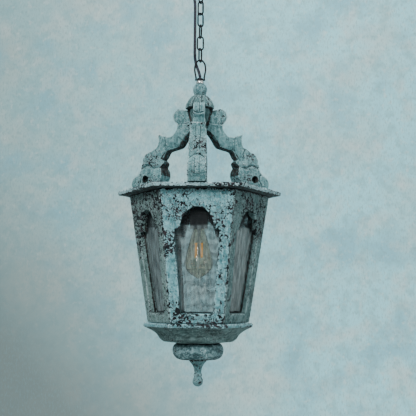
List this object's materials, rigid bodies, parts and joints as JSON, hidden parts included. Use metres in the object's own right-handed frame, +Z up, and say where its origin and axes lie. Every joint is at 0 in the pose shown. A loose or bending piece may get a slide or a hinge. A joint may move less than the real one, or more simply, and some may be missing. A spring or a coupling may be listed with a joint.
{
  "type": "hanging lantern",
  "caption": "Hexagonal hanging lantern: scrolled wooden arms under a carved crown, tapered panels with arched wire-screened windows, moulded base, bulb, chain, cable and canopy.",
  "frame": {"origin": "centre of the face that lies against the ceiling, on the chain's line", "axes": "+Z up, -Y out of the front panel, +X to the right for someone who looks at the front panel"},
  "size_m": [0.37, 0.3367, 0.9666],
  "materials": {
    "painted_wood": "matt turquoise paint, rubbed and chipped down to dark wood",
    "aged_paint": "the same paint, darker and more worn",
    "black_steel": "satin black lacquer",
    "bright_steel": "bright plated",
    "zinc_steel": "dull zinc",
    "screen_wire": "dark woven wire",
    "bakelite": "black moulded, satin",
    "smoked_glass": "clear with a light amber smoke",
    "filament": "amber filament strips on a glass stem",
    "nickel": "nickel-plated",
    "aged_brass": "aged, dull",
    "black_flex": "black flat twin flex"
  },
  "bodies": {
    "ceiling_fitting": {"ceiling_bar": "zinc_steel", "canopy": "black_steel", "cord_grip": "bakelite", "terminal_block": "bakelite", "canopy_hook": "black_steel", "canopy_nut": "black_steel"},
    "link_6": {"chain_link_6": "black_steel"},
    "link_5": {"chain_link_5": "black_steel"},
    "link_4": {"chain_link_4": "black_steel"},
    "link_3": {"chain_link_3": "black_steel"},
    "link_2": {"chain_link_2": "black_steel"},
    "link_1": {"chain_link_1": "black_steel"},
    "bail_loop": {"bail": "black_steel"},
    "lantern": {"bail_head": "black_steel", "collar_nut": "bright_steel", "hanger_tube": "zinc_steel", "tube_locknut": "zinc_steel", "top_knob": "painted_wood", "crown_cap": "painted_wood", "crown_hub": "aged_paint", "arm_front": "painted_wood", "arm_right": "painted_wood", "arm_left": "painted_wood", "arm_screw_front": "zinc_steel", "arm_screw_right": "zinc_steel", "arm_screw_left": "zinc_steel", "roof_plate": "painted_wood", "panel_front": "painted_wood", "panel_front_right": "aged_paint", "panel_rear_right": "painted_wood", "panel_rear_left": "painted_wood", "panel_front_left": "aged_paint", "screen_front": "screen_wire", "screen_front_right": "screen_wire", "screen_rear_right": "screen_wire", "screen_rear_left": "screen_wire", "screen_front_left": "screen_wire", "hinge_upper_fixed_leaf": "aged_brass", "hinge_lower_fixed_leaf": "aged_brass", "base_tray": "aged_paint", "base_disc": "painted_wood", "bottom_finial": "painted_wood", "finial_rod": "zinc_steel", "rod_nut": "zinc_steel", "lampholder_cap": "bakelite", "lampholder_shell": "bakelite", "lampholder_socket": "bakelite", "twin_cable": "black_flex"},
    "door": {"panel_rear": "aged_paint", "screen_rear": "screen_wire", "hinge_upper_door_leaf": "aged_brass", "hinge_lower_door_leaf": "aged_brass", "door_pull": "painted_wood"},
    "bulb": {"bulb_cap": "nickel", "bulb_glass": "smoked_glass", "bulb_filament": "filament"}
  },
  "joints": [
    {"name": "hook_to_link_6", "type": "hinge", "parent": "ceiling_fitting", "child": "link_6", "pos_m": [0, 0, -0.0648], "axis": [-0.848, 0.5299, 0], "range_deg": [-30, 30], "deforming": ["twin_cable"]},
    {"name": "link_6_to_link_5", "type": "hinge", "parent": "link_6", "child": "link_5", "pos_m": [0, 0, -0.09205], "axis": [0.5299, 0.848, 0], "range_deg": [-30, 30], "deforming": ["twin_cable"]},
    {"name": "link_5_to_link_4", "type": "hinge", "parent": "link_5", "child": "link_4", "pos_m": [0, 0, -0.12005], "axis": [0.848, -0.5299, 0], "range_deg": [-30, 30], "deforming": ["twin_cable"]},
    {"name": "link_4_to_link_3", "type": "hinge", "parent": "link_4", "child": "link_3", "pos_m": [0, 0, -0.14805], "axis": [0.848, 0.5299, 0], "range_deg": [-30, 30], "deforming": ["twin_cable"]},
    {"name": "link_3_to_link_2", "type": "hinge", "parent": "link_3", "child": "link_2", "pos_m": [0, 0, -0.17605], "axis": [0.342, -0.9397, 0], "range_deg": [-30, 30], "deforming": ["twin_cable"]},
    {"name": "link_2_to_link_1", "type": "hinge", "parent": "link_2", "child": "link_1", "pos_m": [0, 0, -0.20405], "axis": [1, 0, 0], "range_deg": [-30, 30], "deforming": ["twin_cable"]},
    {"name": "link_1_to_bail", "type": "hinge", "parent": "link_1", "child": "bail_loop", "pos_m": [0, 0, -0.23205], "axis": [0.4067, 0.9135, 0], "range_deg": [-30, 30], "deforming": ["twin_cable"]},
    {"name": "bail_to_lantern", "type": "hinge", "parent": "bail_loop", "child": "lantern", "pos_m": [0, 0, -0.2743], "axis": [1, 0, 0], "range_deg": [-60, 60], "deforming": ["twin_cable"]},
    {"name": "door_hinge", "type": "hinge", "parent": "lantern", "child": "door", "pos_m": [-0.07004, 0.12132, -0.68541], "axis": [-0.0782, 0.1354, 0.9877], "range_deg": [0, 100]},
    {"name": "bulb_turn", "type": "hinge", "parent": "lantern", "child": "bulb", "pos_m": [0, 0, -0.5897], "axis": [0, 0, 1], "range_deg": [0, 720]}
  ]
}
